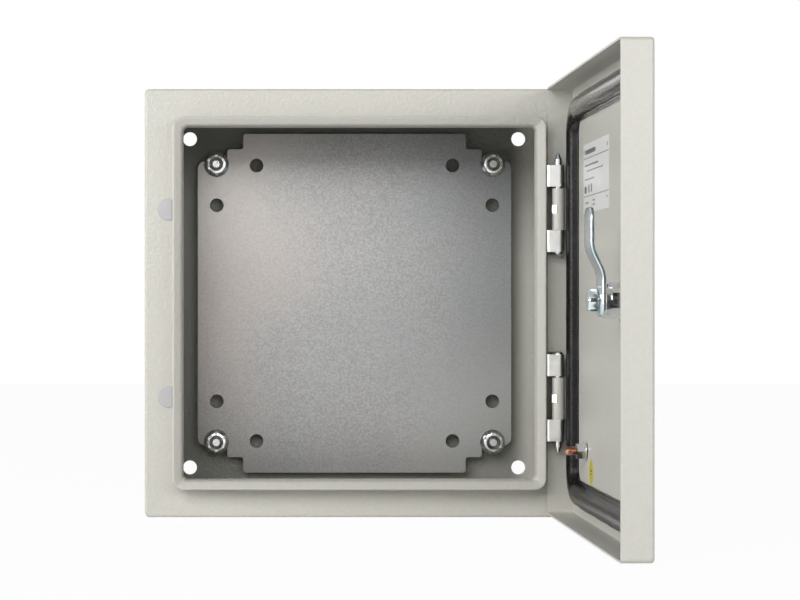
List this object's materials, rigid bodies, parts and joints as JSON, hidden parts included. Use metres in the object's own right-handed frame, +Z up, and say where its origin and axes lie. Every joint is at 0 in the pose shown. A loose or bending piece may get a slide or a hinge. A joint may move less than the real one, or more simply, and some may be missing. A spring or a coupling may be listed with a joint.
{
  "type": "steel wall enclosure",
  "caption": "Square steel wall-mounting enclosure with a raised sealing rim, hinged door, quarter-turn latch and galvanised mounting plate.",
  "frame": {"origin": "centre of the wall-fixing hole pattern on the outside of the back", "axes": "+X to the right seen from the front, +Y into the wall, +Z up; the front faces -Y"},
  "size_m": [0.3099, 0.4233, 0.3005],
  "materials": {
    "paint": "textured light grey powder coat",
    "galvanised": "hot-dip galvanised, fine spangle",
    "zinc": "bright zinc plated",
    "rubber": "black foamed seal with a glossy skin",
    "plastic": "pale grey",
    "copper": "copper coated"
  },
  "bodies": {
    "cabinet": {"cabinet_shell": "paint", "mounting_plate": "galvanised", "plate_studs": "zinc", "plate_spacers": "zinc", "plate_nuts": "zinc", "hinge_bracket_upper": "zinc", "hinge_bracket_lower": "zinc", "hinge_pin_upper": "zinc", "hinge_pin_lower": "zinc", "hinge_clamp_plates": "zinc", "hinge_screws": "zinc", "hinge_hole_plugs": "plastic", "gland_plate": "paint", "gland_plate_seal": "rubber", "gland_plate_studs": "zinc", "gland_plate_nuts": "zinc"},
    "door": {"door_panel": "paint", "door_gasket": "rubber", "hinge_leaf_upper": "paint", "hinge_leaf_lower": "paint", "hinge_clips": "zinc", "lock_housing": "zinc", "lock_seal": "rubber", "lock_nut": "zinc", "door_earth_stud": "copper", "door_earth_washer": "zinc", "door_earth_nut": "zinc"},
    "latch": {"lock_insert": "zinc", "lock_cam": "zinc", "cam_washer": "zinc", "cam_bolt": "zinc"}
  },
  "joints": [
    {"name": "door_swing", "type": "hinge", "parent": "cabinet", "child": "door", "pos_m": [0.138, -0.1367, 0], "axis": [0, 0, 1], "range_deg": [-91.45, 8.55]},
    {"name": "latch_turn", "type": "hinge", "parent": "door", "child": "latch", "pos_m": [0.15538, -0.34533, 0.0015], "axis": [0.9997, 0.0253, 0], "range_deg": [0, 90]}
  ]
}
